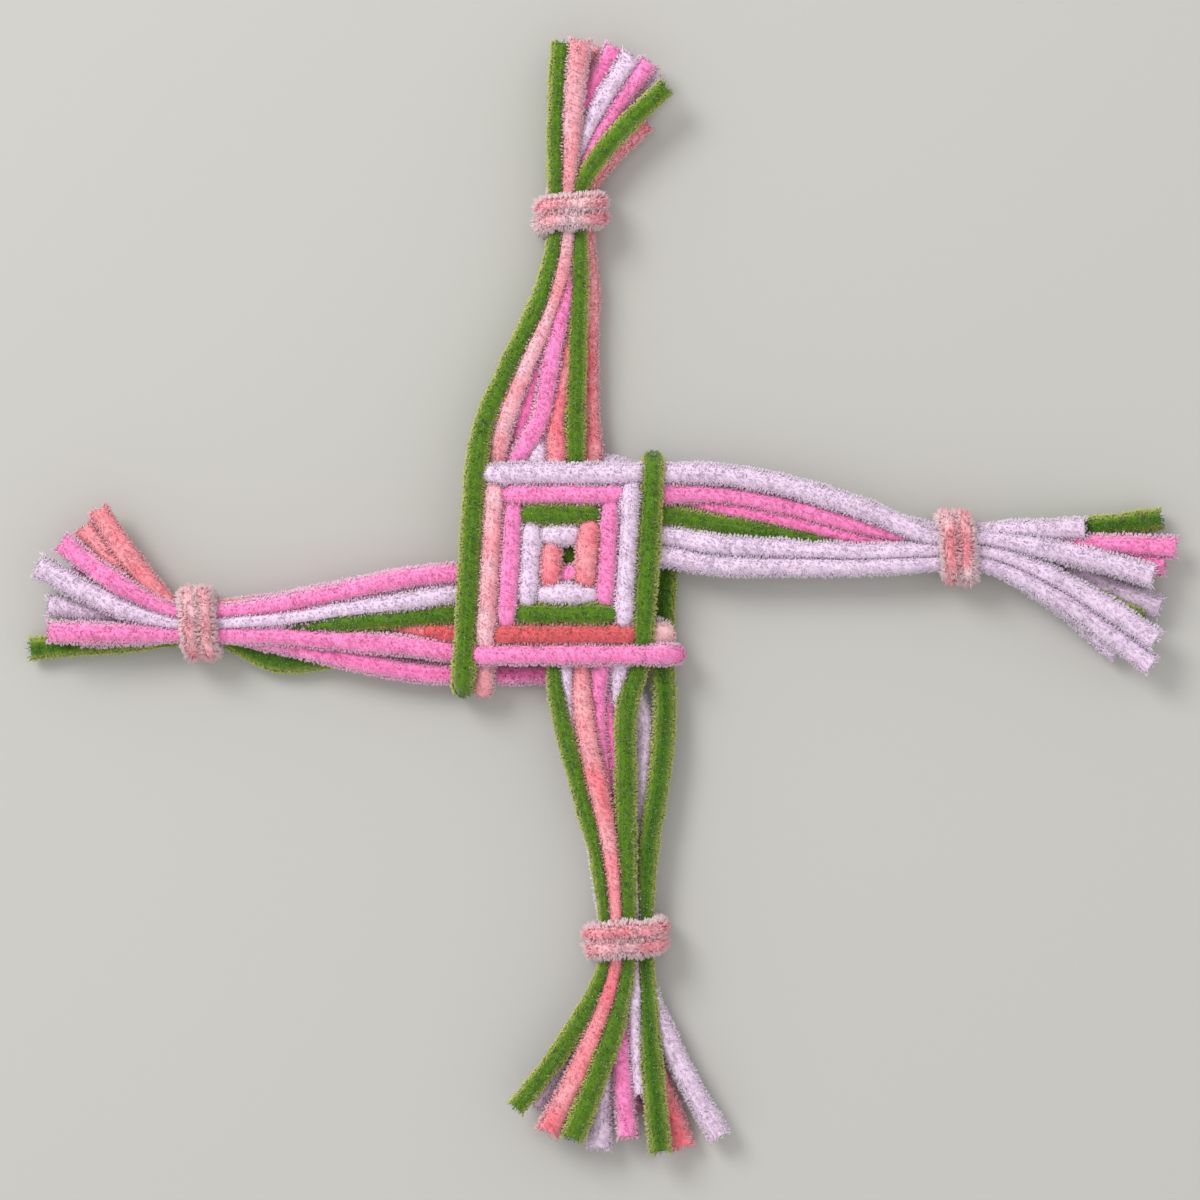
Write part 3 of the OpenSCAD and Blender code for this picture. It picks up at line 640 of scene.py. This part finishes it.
        # How long each one is, and how it leans along the stem and tilts round it.
        full = np.minimum(line.read(self.reach, place), BRISTLE_PAST * line.room_at(place, angle))
        full *= BRISTLE_FULL + loose * (TUFT_LONGER * longer + BRISTLE_LONGER * rng.standard_normal(m))
        from_end = np.minimum(run, line.length - run)
        toward = np.where(run < line.length / 2, -1, 1) * np.clip(1 - from_end / END_LONG, 0, 1) * END_LEAN
        lean = loose * (TUFT_LEAN * slant + BRISTLE_LEAN * rng.standard_normal(m)) + toward
        tilt = loose * (TUFT_LEAN * sway + BRISTLE_LEAN * rng.standard_normal(m))
        lean += TUFT_PULL * (0.5 - row % 1) * TUFT_LONG / np.maximum(full, 0.5)
        tilt += TUFT_TURN * ((way + 0.5) / TUFT_WAYS * math.tau - angle)

        # Each is a blade with a root edge and a tip edge at right angles to it.
        root = at + (self.share - ROOT_SUNK) * full[:, None] * heading(angle, side, out)
        tip = at + full[:, None] * (heading(angle + tilt, side, out) + lean[:, None] * along)
        tip[:, 2] = np.maximum(tip[:, 2], TIP_FLOOR)
        aim = unit(tip - root)
        first = unit(np.cross(aim, along))
        one = heading(rng.random(m) * math.tau, first, np.cross(aim, first))
        two = np.cross(aim, one)
        half = 0.5 * (1 + BRISTLE_VARY * rng.standard_normal(m))[:, None]
        v = np.stack([root - BRISTLE_ROOT * half * one, root + BRISTLE_ROOT * half * one,
                      tip + BRISTLE_TIP * half * two, tip - BRISTLE_TIP * half * two], 1)
        o = 4 * np.arange(m)[:, None]
        f = np.vstack([o + [0, 2, 1], o + [0, 1, 3], o + [0, 3, 2], o + [1, 2, 3]])
        u = np.clip((run[:, None] + MAP_HALF * np.array([-1, 1, 1, -1])) / line.length, 0, 1)
        # Bristles that point more sideways get paler tips: painted light shining through the fibres at the
        # stem's edges.
        sideways = np.abs(np.cos(angle))
        tip_v = BRISTLE_BAND * np.clip(TOP_PAINTED_LIGHT + SIDE_PAINTED_LIGHT * sideways + TUFT_PALE * longer, 0, 1)
        # Side bristles also get lighter roots: painted light laid over the shade among them.
        root_v = ROOT_PAINTED_LIGHT * sideways ** 2 * tip_v
        uv = np.column_stack([u.ravel(), np.column_stack([root_v, root_v, tip_v, tip_v]).ravel()])
        self.add(v.reshape(-1, 3), f, uv, PILE)


def make_piece(name, stem, materials):
    verts, faces = np.vstack(stem.verts), np.vstack(stem.faces)
    verts[:, 2] = np.maximum(verts[:, 2], LOWEST)
    mesh = bpy.data.meshes.new(name)
    mesh.vertices.add(len(verts))
    mesh.vertices.foreach_set("co", (verts * MM).astype(np.float32).ravel())
    mesh.loops.add(3 * len(faces))
    mesh.loops.foreach_set("vertex_index", faces.astype(np.int32).ravel())
    mesh.polygons.add(len(faces))
    mesh.polygons.foreach_set("loop_start", np.arange(0, 3 * len(faces), 3, dtype=np.int32))
    mesh.polygons.foreach_set("material_index", np.concatenate(stem.slots))
    mesh.polygons.foreach_set("use_smooth", np.ones(len(faces), bool))
    mesh.update(calc_edges=True)
    layer = mesh.uv_layers.new(name="OFBake")
    layer.data.foreach_set("uv", np.vstack(stem.maps)[faces.ravel()].astype(np.float32).ravel())
    for material in materials:
        mesh.materials.append(material)
    piece = bpy.data.objects.new(name, mesh)
    bpy.context.scene.collection.objects.link(piece)
    return piece


# Materials.
# Places of colours on the map between a bristle's root and its tip, and round the body, which is
# deep at its top, pale at its sides and middling below. The pale tips and sides are painted light.
HALF_UP, BODY_STOPS, BODY_SIDE_PAINTED_LIGHT = 0.3, (0.67, 0.73, 0.83, 0.92), 0.7
# Noise in the pile: scale, and least and most brightness.
SPECKLE, DRIFT = (2600, 0.92, 1.08), (160, 0.94, 1.06)
NOISE_RANGE, PATCH_RANGE, PATCH_SCALE, WIRE_SCALE = (0.3, 0.7), (0.42, 0.66), 90, 900


def rgb(red, green, blue):
    """Linear colour of screen values."""
    return tuple((c / 12.92 if c <= 0.04045 else ((c + 0.055) / 1.055) ** 2.4)
                 for c in (red, green, blue)) + (1,)


def add_node(nodes, kind, **values):
    """A shader node with some inputs set. Their names have _ in place of spaces."""
    made = nodes.new("ShaderNode" + kind)
    for name, value in values.items():
        made.inputs[name.replace("_", " ")].default_value = value
    return made


def pile_material(name, root, middle, tip, fleck=None):
    """Pile that is deep at the root and paler at the tip, the pale tips painted light, with fine speckle
    and slow drift.
    """
    made = bpy.data.materials.new(name)
    made.use_nodes = True
    nodes, links = made.node_tree.nodes, made.node_tree.links
    nodes.clear()
    output = add_node(nodes, "OutputMaterial")
    shader = add_node(nodes, "BsdfPrincipled", Roughness=0.8, Specular_IOR_Level=0.2,
                      Sheen_Weight=0.6, Sheen_Roughness=0.4)
    uv = add_node(nodes, "UVMap")
    uv.uv_map = "OFBake"
    split = add_node(nodes, "SeparateXYZ")
    links.new(uv.outputs["UV"], split.inputs[0])
    ramp = add_node(nodes, "ValToRGB")
    stops = ramp.color_ramp.elements
    stops[0].position, stops[0].color = 0.0, root
    stops[1].position, stops[1].color = BRISTLE_BAND, tip
    # The body's pale sides: painted light shining through the fibres at the stem's edges.
    soft = tuple((1 - BODY_SIDE_PAINTED_LIGHT) * m + BODY_SIDE_PAINTED_LIGHT * t for m, t in zip(middle, tip))
    for place, colour in zip((HALF_UP, *BODY_STOPS), (middle, root, middle, soft, middle)):
        stops.new(place).color = colour
    links.new(split.outputs["Y"], ramp.inputs[0])
    colour = ramp.outputs["Color"]
    where = add_node(nodes, "TexCoord").outputs["Object"]

    def noise_level(scale, span, low, high):
        noise = add_node(nodes, "TexNoise", Scale=scale, Detail=2)
        links.new(where, noise.inputs["Vector"])
        level = add_node(nodes, "MapRange", From_Min=span[0], From_Max=span[1], To_Min=low, To_Max=high)
        links.new(noise.outputs["Fac"], level.inputs["Value"])
        return level.outputs["Result"]

    if fleck:
        blend = add_node(nodes, "Mix")
        blend.data_type = "RGBA"
        links.new(noise_level(PATCH_SCALE, PATCH_RANGE, 0, 1), blend.inputs["Factor"])
        links.new(colour, blend.inputs["A"])
        blend.inputs["B"].default_value = fleck
        colour = blend.outputs["Result"]
    for scale, low, high in (SPECKLE, DRIFT):
        scaled = add_node(nodes, "VectorMath")
        scaled.operation = "SCALE"
        links.new(colour, scaled.inputs[0])
        links.new(noise_level(scale, NOISE_RANGE, low, high), scaled.inputs["Scale"])
        colour = scaled.outputs["Vector"]
    links.new(colour, shader.inputs["Base Color"])
    links.new(shader.outputs[0], output.inputs["Surface"])
    return made


def wire_material():
    """Drawn steel wire, brighter and smoother in places."""
    made = bpy.data.materials.new("wire")
    made.use_nodes = True
    nodes, links = made.node_tree.nodes, made.node_tree.links
    shader = nodes["Principled BSDF"]
    shader.inputs["Metallic"].default_value = 1
    noise = add_node(nodes, "TexNoise", Scale=WIRE_SCALE)
    links.new(add_node(nodes, "TexCoord").outputs["Object"], noise.inputs["Vector"])
    tone = add_node(nodes, "ValToRGB")
    dull, bright = tone.color_ramp.elements
    dull.position, dull.color = 0.35, (0.5, 0.5, 0.49, 1)
    bright.position, bright.color = 0.65, (0.74, 0.74, 0.72, 1)
    links.new(noise.outputs["Fac"], tone.inputs["Fac"])
    links.new(tone.outputs["Color"], shader.inputs["Base Color"])
    gloss = add_node(nodes, "MapRange", To_Min=0.5, To_Max=0.2)
    links.new(noise.outputs["Fac"], gloss.inputs["Value"])
    links.new(gloss.outputs["Result"], shader.inputs["Roughness"])
    return made


green = pile_material("green", rgb(0.19, 0.38, 0.04), rgb(0.34, 0.5, 0.07), rgb(0.85, 0.87, 0.42))
pink = pile_material("pink", rgb(1, 0.48, 0.75), rgb(1, 0.58, 0.81), rgb(1, 0.87, 0.94))
coral = pile_material("coral", rgb(0.97, 0.45, 0.51), rgb(0.98, 0.53, 0.58), rgb(1, 0.79, 0.81),
                      fleck=rgb(0.99, 0.7, 0.73))
# A darker coral for stem_15's bar in the weave: painted shade where the bar lies sunk between its
# neighbours.
shaded_coral = pile_material("shaded_coral", rgb(0.86, 0.33, 0.36), rgb(0.89, 0.4, 0.42), rgb(0.97, 0.7, 0.7))
pale_coral = pile_material("pale_coral", rgb(0.97, 0.59, 0.64), rgb(0.98, 0.66, 0.7), rgb(1, 0.86, 0.89),
                           fleck=rgb(0.99, 0.8, 0.84))
wound_coral = pile_material("wound_coral", rgb(1, 0.61, 0.66), rgb(1, 0.7, 0.74), rgb(1, 0.91, 0.92),
                            fleck=rgb(1, 0.89, 0.91))
lilac = pile_material("lilac", rgb(0.92, 0.82, 0.91), rgb(0.93, 0.84, 0.93), rgb(0.98, 0.93, 0.98))
tuft_end = pile_material("tuft_end", rgb(1, 0.74, 0.75), rgb(1, 0.8, 0.81), rgb(1, 0.95, 0.95))
wire = wire_material()

# Piles that are fuller than others, and the pile of each stem by its number.
FULLNESS = {"lilac": 1.05}
STEM_PILES = [green, lilac, lilac, pink, coral, lilac, coral, lilac, lilac, green, pink,
              green, pink, pink, lilac, coral, pale_coral, lilac, green, pink, green]
# Lengths each side of the fold of stem_15: its darker bar in the weave, painted shade where it lies sunk
# between neighbours, and its pale tuft.
BAR_LONG, TUFT_END = 55, 5

for index, (name, line) in enumerate(lines.items()):
    tied = name.startswith("tie")
    pile = wound_coral if tied else STEM_PILES[index]
    stretches = []
    if name == "stem_15":
        fold = line.run[line.at[:, 0].argmax()]
        stretches = [(fold - BAR_LONG, fold + BAR_LONG, SHADED_BAR), (fold - TUFT_END, fold + TUFT_END, TUFT)]
    stem = Chenille(line, FULLNESS.get(pile.name, 1), *(TIE_FLUFF if tied else STEM_PILE), stretches)
    stem.body()
    if not tied:
        stem.glints()
    stem.wires()
    stem.fringe()
    piece = make_piece("chenille_" + name, stem, [pile, wire, shaded_coral, tuft_end])
    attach(piece, "root")
    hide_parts(name)

# Floor, light and camera, in metres.
FLOOR_SIZE, FLOOR_COLOUR, FLOOR_ROUGH = 6, rgb(0.745, 0.74, 0.72), 0.9
SKY_STRENGTH = 0.82
WINDOW_AT, WINDOW_SIZE, WINDOW_POWER = (-0.75, 0.75, 1.1), 0.7, 12.0
PX_PER_MM, MIDDLE_PX, FRAME_PX, DISTANCE, SENSOR_MM = 4.55, (564, 559), 1200, 0.9, 36

bpy.ops.mesh.primitive_plane_add(size=FLOOR_SIZE)
floor = bpy.context.object
floor.name = "floor"
stone = bpy.data.materials.new("floor")
stone.use_nodes = True
stone.node_tree.nodes["Principled BSDF"].inputs["Base Color"].default_value = FLOOR_COLOUR
stone.node_tree.nodes["Principled BSDF"].inputs["Roughness"].default_value = FLOOR_ROUGH
floor.data.materials.append(stone)

world = bpy.data.worlds.new("studio")
bpy.context.scene.world = world
world.use_nodes = True
world.node_tree.nodes["Background"].inputs["Color"].default_value = (1, 1, 1, 1)
world.node_tree.nodes["Background"].inputs["Strength"].default_value = SKY_STRENGTH

window_data = bpy.data.lights.new("window", "AREA")
window_data.shape = "DISK"
window_data.size = WINDOW_SIZE
window_data.energy = WINDOW_POWER
window = bpy.data.objects.new("window", window_data)
window.location = WINDOW_AT
window.rotation_mode = "QUATERNION"
window.rotation_quaternion = (-Vector(WINDOW_AT)).to_track_quat("-Z", "Y")
bpy.context.scene.collection.objects.link(window)

# The camera looks straight down, placed so that the weave's middle falls on its pixel in the photo.
camera_data = bpy.data.cameras.new("camera")
camera = bpy.data.objects.new("camera", camera_data)
bpy.context.scene.collection.objects.link(camera)
right, down = ((FRAME_PX / 2 - px) / PX_PER_MM * MM for px in MIDDLE_PX)
camera.location = (right, -down, TIE_FOOT * MM + DISTANCE)
camera_data.sensor_width = SENSOR_MM
camera_data.lens = SENSOR_MM * DISTANCE / (FRAME_PX / PX_PER_MM * MM)
bpy.context.scene.camera = camera
bpy.context.scene.view_settings.view_transform = "Standard"
